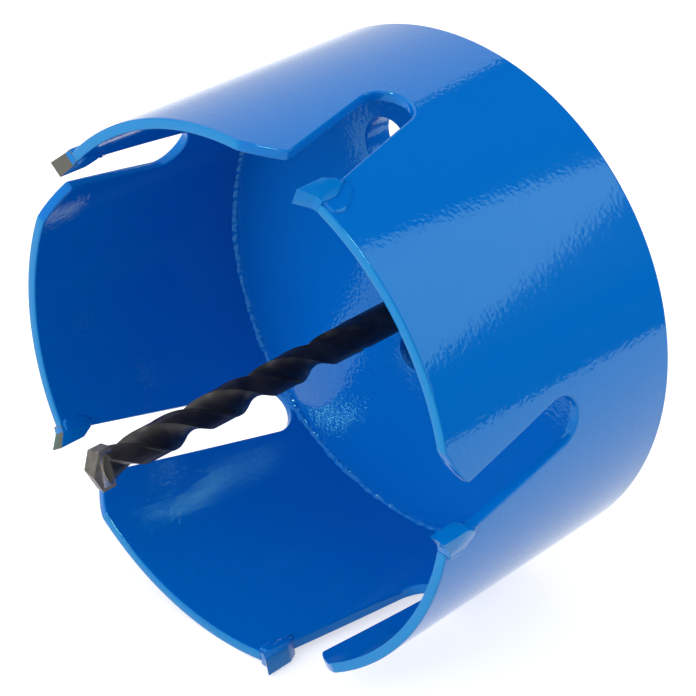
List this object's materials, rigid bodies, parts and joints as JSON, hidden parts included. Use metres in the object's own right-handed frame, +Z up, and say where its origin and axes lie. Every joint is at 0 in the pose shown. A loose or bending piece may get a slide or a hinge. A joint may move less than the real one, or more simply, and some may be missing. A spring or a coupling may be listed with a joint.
{
  "type": "hole saw",
  "caption": "Cup-shaped hole saw with slotted wall and brazed carbide teeth, on an arbor with pilot drill and hexagon shank, for cutting large holes with a drill.",
  "frame": {"origin": "on the saw's axis, where the hexagon shank leaves the arbor's collar", "axes": "+Y along the axis, out of the shank's end, so the teeth face -Y; +Z up, with the saw lying on its wall; the saw cuts turning from +X towards +Z"},
  "size_m": [0.1108, 0.1482, 0.11],
  "materials": {
    "blue_paint": "glossy blue powder coat",
    "zinc_steel": "bright zinc-plated steel",
    "ground_steel": "ground steel",
    "black_steel": "satin black oxide",
    "carbide": "grey sintered carbide"
  },
  "bodies": {
    "root": {"arbor_body": "zinc_steel", "base_plate": "blue_paint", "carbide_tip_1": "carbide", "carbide_tip_2": "carbide", "carbide_tip_3": "carbide", "carbide_tip_4": "carbide", "carbide_tip_5": "carbide", "cup_shell": "blue_paint", "drive_pin_1": "ground_steel", "drive_pin_2": "ground_steel", "drive_plate": "zinc_steel", "lock_nut": "zinc_steel", "pilot_clamp_screw": "black_steel", "pilot_drill": "black_steel", "pilot_tip": "carbide", "weld_bead": "blue_paint"}
  },
  "joints": []
}
